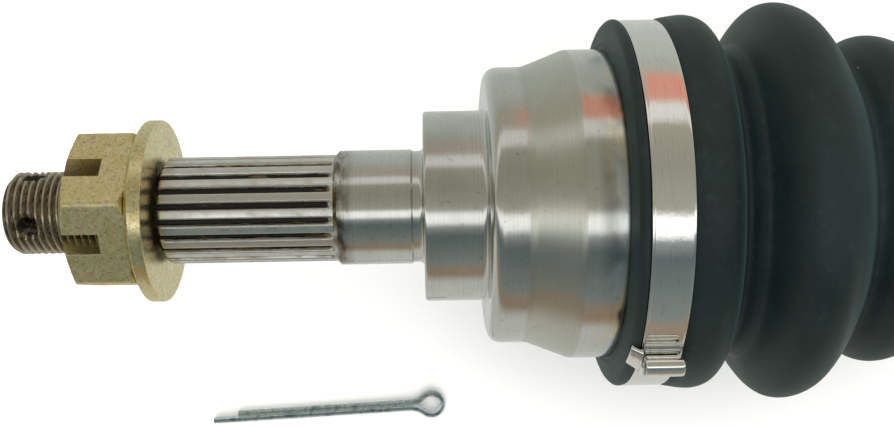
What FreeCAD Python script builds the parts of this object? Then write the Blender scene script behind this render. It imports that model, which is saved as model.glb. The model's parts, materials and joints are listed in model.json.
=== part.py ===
import FreeCAD, Part
import os

import Sketcher
from FreeCAD import Placement, Rotation, Vector

# A cv axle: a fixed ball joint with its splined hub stub, a bar, and a plunging ball joint
# with the stub that enters the gearbox. The axle lies along X with the hub end at -X,
# +Z is up, and the origin is the middle of the hub journal. Sizes are in millimetres.

DIMENSIONS = {
    # hub stub of the outboard joint
    "hub_journal_d": 25.0,
    "hub_journal_len": 15.4,
    "journal_relief_len": 2.7,
    "journal_relief_depth": 0.35,
    "relief_fillet": 1.4,
    "spline_runout": 3.5,
    "spline_cutter_rise": 2.6,
    "spline_len": 34.3,
    "spline_d": 23.25,
    "spline_depth": 1.15,
    "spline_teeth": 21.0,
    "spline_land_share": 0.5,
    "spline_turn": 3.7,
    "spline_lead_chamfer": 0.8,
    "thread_d": 18.0,
    "thread_pitch": 1.5,
    "thread_depth": 0.92,
    "thread_len": 33.5,
    "thread_neck_len": 3.0,
    "thread_neck_depth": 1.2,
    "groove_floor_half": 0.11,
    "groove_mouth_half": 0.76,
    "nut_floor_half": 0.2,
    "tip_chamfer": 1.3,
    "centre_drill_d": 5.0,
    "centre_drill_depth": 3.0,
    "cross_hole_d": 4.1,
    "cross_hole_inset": 5.2,
    "cross_hole_turn": 20.5,
    # castle nut, washer and cotter pin
    "washer_gap": 0.7,
    "washer_d": 39.7,
    "washer_rim": 2.8,
    "washer_thickness": 4.2,
    "washer_top_d": 35.0,
    "washer_dish": 0.35,
    "washer_edge": 0.4,
    "washer_countersink_r": 12.4,
    "washer_countersink_len": 1.6,
    "washer_clearance": 0.25,
    "nut_across_flats": 32.0,
    "nut_height": 15.7,
    "nut_crown_wall": 1.5,
    "nut_crown_chamfer": 3.6,
    "nut_seat_chamfer": 0.9,
    "nut_slot_width": 4.5,
    "nut_slot_depth": 9.9,
    "nut_turn": 5.3,
    "nut_thread_clearance": 0.16,
    "nut_mouth_rise": 1.4,
    "pin_wire_d": 2.9,
    "pin_leg_len": 51.1,
    "pin_short_leg_less": 6.5,
    "pin_leg_gap": 0.12,
    "pin_eye_d": 7.2,
    "pin_neck_round": 7.0,
    "pin_eye_end_x": 14.7,
    "pin_eye_y": -51.7,
    "pin_slant": 2.7,
    "pin_rest_drop": 43.1,
    # bell of the outboard joint
    "shoulder_d": 41.4,
    "shoulder_len": 13.1,
    "shoulder_chamfer": 0.6,
    "bell_root_round": 1.2,
    "bell_nose_d": 59.8,
    "bell_nose_round": 2.8,
    "bell_nose_len": 5.4,
    "bell_flare_len": 9.0,
    "bell_d": 66.8,
    "centre_offset": 40.0,
    "mouth_reach": 12.1,
    "mouth_chamfer": 2.2,
    "boot_groove_depth": 0.8,
    "boot_groove_len": 4.4,
    "boot_groove_inset": 4.6,
    # both ball sets
    "ball_d": 14.288,
    "ball_pitch_r": 22.5,
    "ball_count": 6.0,
    "track_clearance": 0.86,
    "track_back_angle": 45.0,
    "track_front_angle": 60.0,
    "bell_bore_r": 26.3,
    "cage_clearance": 0.3,
    "cage_wall": 4.0,
    "cage_rail": 3.3,
    "cage_window_extra": 2.7,
    "cage_window_clearance": 0.06,
    "race_clearance": 0.2,
    "race_half_width": 9.0,
    # bar
    "joint_spacing": 261.5,
    "bar_d": 20.0,
    "bar_spline_rise": 0.6,
    "bar_collar_rise": 1.8,
    "bar_collar_len": 3.0,
    "bar_end_len": 3.2,
    "bar_end_chamfer": 1.0,
    "bar_ring_len": 1.8,
    "bar_ring_depth": 1.2,
    "bar_ring_proud": 1.1,
    "boot_seat_rise": 0.5,
    "boot_seat_len": 12.0,
    "boot_seat_gap": 9.5,
    # housing of the inboard joint
    "housing_d": 67.0,
    "housing_mouth_reach": 31.0,
    "housing_depth": 33.0,
    "housing_end_wall": 6.0,
    "housing_bore_clearance": 0.5,
    "housing_end_round": 4.0,
    "housing_floor_chamfer": 3.0,
    "stopper_offset": 27.4,
    "stopper_wire": 1.8,
    "stopper_proud": 0.9,
    "stub_flare_len": 14.0,
    "stub_shoulder_d": 36.0,
    "stub_journal_d": 28.0,
    "stub_journal_len": 16.0,
    "stub_spline_d": 25.0,
    "stub_spline_len": 28.0,
    "stub_spline_teeth": 24.0,
    "stub_ring_inset": 4.0,
    "stub_ring_wire": 1.6,
    "stub_ring_sunk": 0.7,
    "stub_edge": 1.5,
    "ring_play": 0.02,
    # boots and clamps
    "boot_wall": 1.9,
    "boot_clearance": 0.1,
    "clamp_clearance": 0.06,
    "boot_lip_reach": 1.2,
    "boot_lip_wall": 6.2,
    "boot_lip_len": 2.3,
    "boot_band_wall": 5.2,
    "band_width": 8.2,
    "band_wall": 0.8,
    "buckle_roll_d": 4.4,
    "buckle_roll_len": 8.0,
    "buckle_plate": 1.0,
    "buckle_plate_len": 9.0,
    "buckle_turn": 47.0,
    "fold_crest_half": 3.4,
    "fold_crest_dip": 1.2,
    "fold_root_half": 1.4,
    "fold_root_rise": 0.5,
    "neck_wall": 3.2,
    "neck_len": 12.0,
    "neck_band_width": 7.0,
    "neck_ear_rise": 5.0,
    "neck_ear_len": 7.0,
}

# Crest and root of each boot fold: distance from the joint centre, and radius as a share
# of the radius of the bell or housing that the boot's rim sits on
OUTBOARD_FOLDS = {
    "lobe_1_crest": (14.9, 1.207),
    "lobe_1_root": (24.6, 0.943),
    "lobe_2_crest": (34.3, 1.284),
    "lobe_2_root": (49.0, 0.928),
    "lobe_3_crest": (54.8, 1.057),
    "lobe_3_root": (65.0, 0.763),
    "lobe_4_crest": (73.0, 0.898),
    "lobe_4_root": (81.5, 0.599),
    "lobe_5_crest": (88.5, 0.719),
}

INBOARD_FOLDS = {
    "inner_1_crest": (42.0, 1.134),
    "inner_1_root": (50.0, 0.866),
    "inner_2_crest": (57.5, 1.0),
    "inner_2_root": (65.0, 0.716),
    "inner_3_crest": (72.0, 0.836),
    "inner_3_root": (79.0, 0.582),
    "inner_4_crest": (85.5, 0.687),
}

doc = FreeCAD.newDocument("cv_axle")
sheet = doc.addObject("Spreadsheet::Sheet", "size")


def fill_sheet():
    cells = dict(DIMENSIONS)
    for folds in (OUTBOARD_FOLDS, INBOARD_FOLDS):
        for name, (offset, share) in folds.items():
            cells[name + "_x"] = offset
            cells[name + "_share"] = share
    for row, (name, length) in enumerate(cells.items(), start=1):
        sheet.set(f"A{row}", name)
        sheet.set(f"B{row}", str(length))
        sheet.setAlias(f"B{row}", name)
    doc.recompute()


fill_sheet()

# Stations along the axle, as expressions on the sheet
journal_start = "(-size.hub_journal_len / 2)"
journal_end = "(size.hub_journal_len / 2)"
spline_end = f"({journal_start} - size.spline_runout)"
spline_start = f"({spline_end} - size.spline_len)"
tip = f"({spline_start} - size.thread_len)"
thread_inner_end = f"({spline_start} - size.thread_neck_len)"
washer_back = f"({spline_start} - size.washer_gap)"
nut_seat = f"({washer_back} - size.washer_thickness)"
nut_end = f"({nut_seat} - size.nut_height)"
shoulder = f"({journal_end} + size.journal_relief_len)"
bell_front = f"({shoulder} + size.shoulder_len)"
bell_flare = f"({bell_front} + size.bell_nose_round + size.bell_nose_len)"
centre = f"({shoulder} + size.centre_offset)"
mouth = f"({centre} + size.mouth_reach)"
inboard = f"({centre} + size.joint_spacing)"
housing_mouth = f"({inboard} - size.housing_mouth_reach)"
housing_floor = f"({inboard} + size.housing_depth)"
housing_end = f"({housing_floor} + size.housing_end_wall)"
stub_shoulder = f"({housing_end} + size.stub_flare_len)"
stub_journal_end = f"({stub_shoulder} + size.stub_journal_len)"
stub_end = f"({stub_journal_end} + size.stub_spline_len)"

# Radii that several pieces share
track_r = "(size.ball_d / 2 + size.track_clearance)"
cage_outer_r = "(size.bell_bore_r - size.cage_clearance)"
cage_inner_r = f"({cage_outer_r} - size.cage_wall)"
race_r = f"({cage_inner_r} - size.race_clearance)"
bar_r = "(size.bar_d / 2)"
bar_spline_r = f"({bar_r} + size.bar_spline_rise)"
bar_collar_r = f"({bar_r} + size.bar_collar_rise)"
bell_r = "(size.bell_d / 2)"
housing_r = "(size.housing_d / 2)"
thread_r = "(size.thread_d / 2)"
washer_bore_r = f"({thread_r} + size.washer_clearance)"
housing_bore_r = f"({cage_outer_r} + size.housing_bore_clearance)"
seat_r = f"({bar_r} + size.boot_seat_rise)"
neck_r = f"({seat_r} + size.neck_wall)"
cage_half = "(size.ball_d / 2 + size.cage_rail)"
nut_r = "(size.nut_across_flats / sqrt(3))"
stub_r = "(size.stub_spline_d / 2)"
outboard_neck = f"({centre} + size.lobe_5_crest_x + size.boot_seat_gap)"
inboard_neck = f"({inboard} - size.inner_4_crest_x - size.boot_seat_gap)"
arc_half = "0.29289"  # 1 - cos 45: where a quarter round's middle lies


def number(expression):
    return float(sheet.evalExpression(expression))


def origin_plane(body, role):
    return next(feature for feature in body.Origin.OriginFeatures if feature.Role == role)


def new_body(name):
    body = doc.addObject("PartDesign::Body", name)
    body.Label = name
    return body


def new_sketch(body, name, plane="XY_Plane", offset=None, turn=None):
    # offset moves the sketch along the plane's normal, turn is a rotation of the sketch
    sketch = body.newObject("Sketcher::SketchObject", name)
    sketch.AttachmentSupport = (origin_plane(body, plane), [""])
    sketch.MapMode = "FlatFace"
    if turn is not None:
        sketch.AttachmentOffset = Placement(Vector(), turn)
    if offset is not None:
        sketch.setExpression("AttachmentOffset.Base.z", offset)
    return sketch


def pin_point(sketch, geometry, end, x, y):
    # ties one end of a sketch line or arc to its distances from the sketch origin
    here = (number(x), number(y))
    for kind, axis, expression, place in (("DistanceX", -2, x, here[0]), ("DistanceY", -1, y, here[1])):
        if expression == "0":
            sketch.addConstraint(Sketcher.Constraint("PointOnObject", geometry, end, axis))
            continue
        row = sketch.addConstraint(Sketcher.Constraint(kind, -1, 1, geometry, end, place))
        sketch.setExpression(f"Constraints[{row}]", expression)


def draw_outline(sketch, outline):
    # outline holds corners (x, y), and ("via", x, y) for a point that an arc passes through
    corners = [item for item in outline if item[0] != "via"]
    places = [Vector(number(x), number(y), 0) for x, y in corners]
    count = len(corners)
    vias = {}
    seen = 0
    for item in outline:
        if item[0] == "via":
            vias[seen - 1] = item[1:]
        else:
            seen += 1
    for index in range(count):
        start = places[index]
        end = places[(index + 1) % count]
        if index in vias:
            middle = Vector(number(vias[index][0]), number(vias[index][1]), 0)
            sketch.addGeometry(Part.Arc(start, middle, end), False)
        else:
            sketch.addGeometry(Part.LineSegment(start, end), False)
    starts = {}
    for index in range(count):
        start = places[index]
        found = sketch.getPoint(index, 1)
        starts[index] = 1 if found.distanceToPoint(start) < 1e-6 else 2
    for index in range(count):
        following = (index + 1) % count
        far_end = 3 - starts[index]
        sketch.addConstraint(
            Sketcher.Constraint("Coincident", index, far_end, following, starts[following])
        )
        pin_point(sketch, index, starts[index], *corners[index])
    for index, (x, y) in vias.items():
        point = sketch.addGeometry(Part.Point(Vector(number(x), number(y), 0)), True)
        pin_point(sketch, point, 1, x, y)
        sketch.addConstraint(Sketcher.Constraint("PointOnObject", point, 1, index))


def draw_circle(sketch, x, y, radius):
    middle = Vector(number(x), number(y), 0)
    circle = sketch.addGeometry(Part.Circle(middle, Vector(0, 0, 1), number(radius)), False)
    pin_point(sketch, circle, 3, x, y)
    row = sketch.addConstraint(Sketcher.Constraint("Radius", circle, number(radius)))
    sketch.setExpression(f"Constraints[{row}]", radius)


def turned(name, outline, angle=360):
    # a body of revolution about the X axis
    body = new_body(name)
    sketch = new_sketch(body, name + "_outline")
    draw_outline(sketch, outline)
    turn = body.newObject("PartDesign::Revolution", name + "_turned")
    turn.Profile = (sketch, [""])
    turn.ReferenceAxis = (sketch, ["H_Axis"])
    turn.Angle = angle
    doc.recompute()
    return body


def cut_ring(body, name, outline):
    # a groove turned about the X axis
    sketch = new_sketch(body, name + "_outline")
    draw_outline(sketch, outline)
    groove = body.newObject("PartDesign::Groove", name)
    groove.Profile = (sketch, [""])
    groove.ReferenceAxis = (sketch, ["H_Axis"])
    groove.Angle = 360
    doc.recompute()
    return groove


def around_axle(body, feature, count, angle=360):
    # repeats a feature about the X axis
    pattern = body.newObject("PartDesign::PolarPattern", feature.Name + "_round")
    pattern.Originals = [feature]
    pattern.Axis = (origin_plane(body, "X_Axis"), [""])
    pattern.Angle = angle
    if isinstance(count, str):
        pattern.setExpression("Occurrences", count)
    else:
        pattern.Occurrences = count
    body.Tip = pattern
    doc.recompute()
    return pattern


def pocket_along(body, name, sketch, length, reverse=False, through=False, both=False):
    pocket = body.newObject("PartDesign::Pocket", name)
    pocket.Profile = (sketch, [""])
    pocket.Reversed = reverse
    if through:
        pocket.Type = "ThroughAll"
        pocket.Midplane = both
    else:
        pocket.Midplane = both
        pocket.setExpression("Length", length)
    before = body.Shape.Volume
    doc.recompute()
    if not pocket.Shape.Volume < before - 0.01:
        raise RuntimeError(name + " cuts nothing")
    return pocket


def cut_splines(body, name, start, length, radius, teeth, turn=None):
    # tooth spaces with sloping flanks, milled along X and repeated round the stub
    half = f"(180 / {teeth} * (1 - size.spline_land_share))"
    outer = f"({radius} + 1)"
    root = f"({radius} - size.spline_depth)"
    wide = f"({outer} * sin({half}) * 1.06)"
    narrow = f"({root} * sin({half}) * 0.5)"
    sketch = new_sketch(body, name + "_space", "YZ_Plane", offset=start, turn=turn)
    draw_outline(sketch, [
        (f"(-{wide})", outer),
        (f"(-{narrow})", root),
        (narrow, root),
        (wide, outer),
    ])
    space = pocket_along(body, name, sketch, length, reverse=True)
    return around_axle(body, space, teeth)


def cut_thread(body, name, start, length, tip_r, root_r, tip_half, root_half, shift="0"):
    # a right-hand helical groove about X, from a trapezoid on the XY plane
    begin = f"({start} - size.thread_pitch + {shift})"
    sketch = new_sketch(body, name + "_form")
    draw_outline(sketch, [
        (f"({begin} - {root_half})", root_r),
        (f"({begin} - {tip_half})", tip_r),
        (f"({begin} + {tip_half})", tip_r),
        (f"({begin} + {root_half})", root_r),
    ])
    helix = body.newObject("PartDesign::SubtractiveHelix", name)
    helix.Profile = (sketch, [""])
    helix.ReferenceAxis = (origin_plane(body, "X_Axis"), [""])
    helix.Mode = 0
    helix.setExpression("Pitch", "size.thread_pitch")
    helix.setExpression("Height", f"{length} + 2 * size.thread_pitch")
    before = body.Shape.Volume
    doc.recompute()
    if not helix.Shape.Volume < before - 1:
        raise RuntimeError(name + " cuts nothing")
    return helix


def cut_ball_tracks(body, name, middle, forward, back):
    # arcs about the joint centre, one for each ball
    sketch = new_sketch(body, name + "_section", "YZ_Plane", offset=middle)
    draw_circle(sketch, "0", "size.ball_pitch_r", track_r)
    track = body.newObject("PartDesign::Groove", name)
    track.Profile = (sketch, [""])
    track.ReferenceAxis = (sketch, ["H_Axis"])
    track.Type = "TwoAngles"
    track.setExpression("Angle", forward)
    track.setExpression("Angle2", back)
    before = body.Shape.Volume
    doc.recompute()
    if not track.Shape.Volume < before - 1:
        raise RuntimeError(name + " cuts nothing")
    return around_axle(body, track, "size.ball_count")


def outboard_outer_race():
    relief_r = "(size.hub_journal_d / 2 - size.journal_relief_depth)"
    fillet = "size.relief_fillet"
    root = "size.bell_root_round"
    nose = "size.bell_nose_round"
    nose_r = "(size.bell_nose_d / 2)"
    shoulder_r = "(size.shoulder_d / 2)"
    groove_r = f"({bell_r} - size.boot_groove_depth)"
    groove_end = f"({mouth} - size.boot_groove_inset)"
    neck = f"({thread_r} - size.thread_neck_depth)"
    groove_start = f"({groove_end} - size.boot_groove_len)"
    race = turned("outboard_outer_race", [
        (f"({tip} + size.centre_drill_depth)", "0"),
        (tip, "(size.centre_drill_d / 2)"),
        (tip, f"({thread_r} - size.tip_chamfer)"),
        (f"({tip} + size.tip_chamfer)", thread_r),
        (thread_inner_end, thread_r),
        (f"({thread_inner_end} + size.thread_neck_depth)", neck),
        (spline_start, neck),
        (spline_start, "(size.spline_d / 2 - size.spline_lead_chamfer)"),
        (f"({spline_start} + size.spline_lead_chamfer)", "(size.spline_d / 2)"),
        (f"({spline_end} + size.spline_cutter_rise)", "(size.spline_d / 2)"),
        (journal_start, "(size.hub_journal_d / 2)"),
        (journal_end, "(size.hub_journal_d / 2)"),
        (f"({journal_end} + size.journal_relief_depth)", relief_r),
        (f"({shoulder} - {fillet})", relief_r),
        ("via", f"({shoulder} - {fillet} * {arc_half})", f"({relief_r} + {fillet} * {arc_half})"),
        (shoulder, f"({relief_r} + {fillet})"),
        (shoulder, f"({shoulder_r} - size.shoulder_chamfer)"),
        (f"({shoulder} + size.shoulder_chamfer)", shoulder_r),
        (f"({bell_front} - {root})", shoulder_r),
        ("via", f"({bell_front} - {root} * {arc_half})", f"({shoulder_r} + {root} * {arc_half})"),
        (bell_front, f"({shoulder_r} + {root})"),
        (bell_front, f"({nose_r} - {nose})"),
        ("via", f"({bell_front} + {nose} * {arc_half})", f"({nose_r} - {nose} * {arc_half})"),
        (f"({bell_front} + {nose})", nose_r),
        (bell_flare, nose_r),
        (f"({bell_flare} + size.bell_flare_len)", bell_r),
        (groove_start, bell_r),
        (f"({groove_start} + size.boot_groove_depth)", groove_r),
        (f"({groove_end} - size.boot_groove_depth)", groove_r),
        (groove_end, bell_r),
        (mouth, bell_r),
        (mouth, "0"),
    ])
    bore_r = "size.bell_bore_r"
    rim_x = "(size.mouth_reach - size.mouth_chamfer)"
    beyond = f"({mouth} + 1)"
    rim_r = f"sqrt({bore_r}^2 - {rim_x}^2)"
    cut_ring(race, "ball_socket", [
        (f"({centre} - {bore_r})", "0"),
        ("via", f"({centre} - {bore_r} * 0.6)", f"({bore_r} * 0.8)"),
        (f"({centre} + {rim_x})", rim_r),
        (mouth, f"({rim_r} + size.mouth_chamfer)"),
        (beyond, f"({rim_r} + size.mouth_chamfer)"),
        (beyond, "0"),
    ])
    cut_ball_tracks(race, "outer_track", centre, "size.track_front_angle", "size.track_back_angle")
    cut_splines(race, "hub_spline", f"({spline_start} - size.spline_lead_chamfer)",
                "size.spline_len + size.spline_lead_chamfer + size.spline_cutter_rise", "(size.spline_d / 2)",
                "size.spline_teeth", turn=Rotation(Vector(0, 0, 1), -number("size.spline_turn")))
    lean = Rotation(Vector(1, 0, 0), number("size.cross_hole_turn"))
    hole = new_sketch(race, "cross_hole_circle", turn=lean)
    draw_circle(hole, f"({tip} + size.cross_hole_inset)", "0", "(size.cross_hole_d / 2)")
    drilled = pocket_along(race, "cross_hole", hole, None, through=True, both=True)
    around_axle(race, drilled, 2, angle=90)
    cut_thread(race, "stub_thread", tip, "(size.thread_len - size.thread_neck_len)",
               f"({thread_r} - size.thread_depth)", f"({thread_r} + 0.2)",
               "size.groove_floor_half", "size.groove_mouth_half")
    return race


def castle_nut():
    nut = new_body("castle_nut")
    hexagon = new_sketch(nut, "nut_hexagon", "YZ_Plane", offset=nut_seat)
    draw_outline(hexagon, [
        (f"({nut_r} * cos({angle}))", f"({nut_r} * sin({angle}))") for angle in range(30, 390, 60)
    ])
    blank = nut.newObject("PartDesign::Pad", "nut_blank")
    blank.Profile = (hexagon, [""])
    blank.Reversed = True
    blank.setExpression("Length", "size.nut_height")
    doc.recompute()
    clear_r = f"({nut_r} + 1)"
    crown_r = f"({thread_r} + size.nut_crown_wall)"
    slope = f"(({clear_r} - {crown_r}) / size.nut_crown_chamfer)"
    cut_ring(nut, "crown_chamfer", [
        (f"({nut_end} - 1)", f"({crown_r} - {slope})"),
        (f"({nut_end} + size.nut_crown_chamfer)", clear_r),
        (f"({nut_end} - 1)", clear_r),
    ])
    cut_ring(nut, "seat_chamfer", [
        (nut_seat, "(size.nut_across_flats / 2)"),
        (f"({nut_seat} - size.nut_seat_chamfer)", clear_r),
        (nut_seat, clear_r),
    ])
    crest_r = f"({thread_r} - size.thread_depth + 0.3)"
    mouth_r = f"({thread_r} + size.nut_mouth_rise)"
    cut_ring(nut, "nut_bore", [
        (f"({nut_end} - 1)", "0"),
        (f"({nut_end} - 1)", mouth_r),
        (f"({nut_end} + size.nut_mouth_rise)", crest_r),
        (f"({nut_seat} - size.nut_mouth_rise)", crest_r),
        (nut_seat, mouth_r),
        (nut_seat, "0"),
    ])
    slot = new_sketch(nut, "nut_slot_section", "YZ_Plane", offset=nut_end)
    half = "(size.nut_slot_width / 2)"
    reach = "(size.nut_across_flats)"
    draw_outline(slot, [
        (f"(-{reach})", f"(-{half})"),
        (reach, f"(-{half})"),
        (reach, half),
        (f"(-{reach})", half),
    ])
    slotted = pocket_along(nut, "nut_slot", slot, "size.nut_slot_depth", reverse=True)
    around_axle(nut, slotted, 3)
    # the nut's groove lies half a pitch from the stub's, so its ridges sit in the stub's groove
    run = f"({nut_end} - {tip} + size.thread_pitch * size.nut_turn / 360)"
    half_pitch_off = f"(size.thread_pitch / 2 - mod({run}; size.thread_pitch))"
    cut_thread(nut, "nut_thread", nut_end, "size.nut_height", f"({thread_r} + size.nut_thread_clearance)",
               f"({crest_r} - 0.2)", "size.nut_floor_half", "size.groove_mouth_half", shift=half_pitch_off)
    nut.Placement = Placement(Vector(), Rotation(Vector(1, 0, 0), -number("size.nut_turn")))
    return nut


def hub_washer():
    rim_front = f"({washer_back} - size.washer_rim)"
    rim_r = "(size.washer_d / 2)"
    top_r = "(size.washer_top_d / 2)"
    edge = "size.washer_edge"
    top_face = f"({nut_seat} + size.ring_play)"
    return turned("hub_washer", [
        (f"({washer_back} - size.washer_countersink_len)", washer_bore_r),
        (washer_back, "size.washer_countersink_r"),
        (washer_back, f"({rim_r} - {edge})"),
        (f"({washer_back} - {edge})", rim_r),
        (f"({rim_front} + {edge})", rim_r),
        (rim_front, f"({rim_r} - {edge})"),
        ("via", f"({rim_front} - (size.washer_thickness - size.washer_rim) / 2)",
         f"(({rim_r} + {top_r}) / 2 - size.washer_dish)"),
        (top_face, top_r),
        (top_face, washer_bore_r),
    ])


def cotter_pin():
    # one half-round wire: a leg, the eye and the other leg, laid flat beside the hub stub
    size = {name: number("size." + name) for name in DIMENSIONS if name.startswith("pin_")}
    wire_r = size["pin_wire_d"] / 2 - size["pin_leg_gap"] / 2
    inner = size["pin_leg_gap"] / 2
    eye_r = size["pin_eye_d"] / 2 - wire_r
    bend_r = size["pin_neck_round"]
    reach = ((eye_r + bend_r) ** 2 - (bend_r + inner) ** 2) ** 0.5
    touch = Vector(reach * eye_r / (eye_r + bend_r), (bend_r + inner) * eye_r / (eye_r + bend_r), 0)
    bend = Vector(reach, bend_r + inner, 0)
    way = (touch - bend).normalize() + Vector(0, -1, 0)
    bend_middle = bend + way.normalize() * bend_r
    legs = (size["pin_leg_len"], size["pin_leg_len"] - size["pin_short_leg_less"])
    path = Part.Wire([
        Part.makeLine(Vector(reach + legs[0], inner, 0), Vector(reach, inner, 0)),
        Part.Arc(Vector(reach, inner, 0), bend_middle, touch).toShape(),
        Part.Arc(touch, Vector(-eye_r, 0, 0), Vector(touch.x, -touch.y, 0)).toShape(),
        Part.Arc(Vector(touch.x, -touch.y, 0), Vector(bend_middle.x, -bend_middle.y, 0),
                 Vector(reach, -inner, 0)).toShape(),
        Part.makeLine(Vector(reach, -inner, 0), Vector(reach + legs[1], -inner, 0)),
    ])
    start = Vector(reach + legs[0], inner, 0)
    section = Part.Wire([
        Part.Arc(start + Vector(0, 0, -wire_r), start + Vector(0, wire_r, 0),
                 start + Vector(0, 0, wire_r)).toShape(),
        Part.makeLine(start + Vector(0, 0, wire_r), start + Vector(0, 0, -wire_r)),
    ])
    pin = doc.addObject("Part::Feature", "cotter_pin")
    pin.Shape = path.makePipeShell([section], True, True)
    eye_end = Vector(size["pin_eye_end_x"], size["pin_eye_y"], wire_r - size["pin_rest_drop"])
    turn = Rotation(Vector(0, 0, 1), 180 + size["pin_slant"])
    pin.Placement = Placement(eye_end - turn.multVec(Vector(-eye_r - wire_r, 0, 0)), turn)
    return pin


def cage(name, middle):
    low = f"({middle} - {cage_half})"
    high = f"({middle} + {cage_half})"
    outer_edge = f"sqrt({cage_outer_r}^2 - {cage_half}^2)"
    inner_edge = f"sqrt({cage_inner_r}^2 - {cage_half}^2)"
    ring = turned(name, [
        (low, inner_edge),
        (low, outer_edge),
        ("via", middle, cage_outer_r),
        (high, outer_edge),
        (high, inner_edge),
        ("via", middle, cage_inner_r),
    ])
    window = new_sketch(ring, name + "_window_outline")
    wide = "(size.ball_d / 2 + size.cage_window_clearance)"
    tall = "((size.ball_d + size.cage_window_extra) / 2)"
    draw_outline(window, [
        (f"({middle} - {wide})", f"(-{tall})"),
        (f"({middle} + {wide})", f"(-{tall})"),
        (f"({middle} + {wide})", tall),
        (f"({middle} - {wide})", tall),
    ])
    opened = pocket_along(ring, name + "_window", window, None, reverse=True, through=True)
    around_axle(ring, opened, "size.ball_count")
    return ring


def balls(name, middle):
    made = []
    for index in range(int(number("size.ball_count"))):
        angle = f"({index} * 360 / size.ball_count)"
        ball = doc.addObject("Part::Sphere", f"{name}_{index + 1}")
        ball.Label = ball.Name
        ball.setExpression("Radius", "size.ball_d / 2")
        ball.setExpression("Placement.Base.x", middle)
        ball.setExpression("Placement.Base.y", f"size.ball_pitch_r * sin({angle})")
        ball.setExpression("Placement.Base.z", f"size.ball_pitch_r * cos({angle})")
        made.append(ball)
    return made


def inner_race(name, middle):
    half = "size.race_half_width"
    edge_r = f"sqrt({race_r}^2 - {half}^2)"
    race = turned(name, [
        (f"({middle} - {half})", bar_spline_r),
        (f"({middle} - {half})", edge_r),
        ("via", middle, race_r),
        (f"({middle} + {half})", edge_r),
        (f"({middle} + {half})", bar_spline_r),
    ])
    cut_ball_tracks(race, name + "_track", middle, "size.track_front_angle", "size.track_front_angle")
    return race


def axle_shaft():
    half = "size.race_half_width"
    groove_r = f"({bar_spline_r} - size.bar_ring_depth)"
    outline = []
    # the bar's two ends are alike: way is -1 at the outboard end and +1 at the inboard end
    for middle, way in ((centre, -1), (inboard, 1)):
        face = f"({middle} + {way} * {half})"
        ring_end = f"({face} + {way} * size.bar_ring_len)"
        end = f"({ring_end} + {way} * size.bar_end_len)"
        collar = f"({middle} - {way} * {half})"
        collar_end = f"({collar} - {way} * size.bar_collar_len)"
        side = [
            (end, "0"),
            (end, f"({bar_spline_r} - size.bar_end_chamfer)"),
            (f"({end} - {way} * size.bar_end_chamfer)", bar_spline_r),
            (ring_end, bar_spline_r),
            (ring_end, groove_r),
            (face, groove_r),
            (face, bar_spline_r),
            (collar, bar_spline_r),
            (collar, bar_collar_r),
            (collar_end, bar_collar_r),
            (f"({collar_end} - {way} * 2)", bar_r),
        ]
        outline += side if way < 0 else side[::-1]
        if way < 0:
            outline += boot_seat(outboard_neck, 1)
            outline += boot_seat(inboard_neck, -1)
    return turned("axle_shaft", outline)


def boot_seat(neck, way):
    # a slightly raised seat under the boot's neck, between two sloping edges
    near = neck if way > 0 else f"({neck} - size.boot_seat_len)"
    far = f"({near} + size.boot_seat_len)"
    return [
        (f"({near} - 1)", bar_r),
        (near, seat_r),
        (far, seat_r),
        (f"({far} + 1)", bar_r),
    ]


def boot(name, middle, way, folds, rim, rim_r, neck):
    # way is +1 where the boot runs towards +X. The rim sits on the joint, the neck on the bar
    lip_start = f"({rim} - {way} * size.boot_lip_reach)"
    lip_end = f"({lip_start} + {way} * size.boot_lip_len)"
    band_end = f"({lip_end} + {way} * size.band_width)"
    lip_r = f"({rim_r} + size.boot_lip_wall)"
    band_seat_r = f"({rim_r} + size.boot_band_wall)"
    inside_r = f"({rim_r} + size.boot_clearance)"
    wall = "size.boot_wall"
    outer = [
        (lip_start, f"({inside_r} + 0.6)"),
        ("via", f"({lip_start} + {way} * size.boot_lip_len * 0.2)",
         f"({inside_r} + ({lip_r} - {inside_r}) * 0.7)"),
        (f"({lip_start} + {way} * size.boot_lip_len * 0.8)", lip_r),
        (lip_end, lip_r),
        (lip_end, band_seat_r),
        (band_end, band_seat_r),
    ]
    inner = []
    for fold in folds:
        x = f"({middle} + {way} * size.{fold}_x)"
        radius = f"({rim_r} * size.{fold}_share)"
        if fold.endswith("crest"):
            half = "size.fold_crest_half"
            side_r = f"({radius} - size.fold_crest_dip)"
        else:
            half = "size.fold_root_half"
            side_r = f"({radius} + size.fold_root_rise)"
        near = f"({x} - {way} * {half})"
        far = f"({x} + {way} * {half})"
        outer += [(near, side_r), ("via", x, radius), (far, side_r)]
        inner += [(near, f"({side_r} - {wall})"), (far, f"({side_r} - {wall})")]
    neck_end = f"({neck} + {way} * size.neck_len)"
    outer += [
        (neck, neck_r),
        (neck_end, neck_r),
    ]
    inner = [
        (lip_start, inside_r),
        (f"({rim} + {way} * (size.mouth_reach + 0.4))", inside_r),
    ] + inner + [
        (neck, f"({seat_r} + size.boot_clearance)"),
        (neck_end, f"({seat_r} + size.boot_clearance)"),
    ]
    return turned(name, outer + inner[::-1])


def large_band(name, rim, rim_r, way):
    start = f"({rim} - {way} * size.boot_lip_reach + {way} * size.boot_lip_len)"
    low = f"({start} + 0.1)" if way > 0 else f"({start} - size.band_width + 0.1)"
    high = f"({low} + size.band_width - 0.2)"
    inner = f"({rim_r} + size.boot_band_wall + size.clamp_clearance)"
    outer = f"({inner} + size.band_wall)"
    return turned(name, [(low, inner), (low, outer), (high, outer), (high, inner)]), low, high


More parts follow.
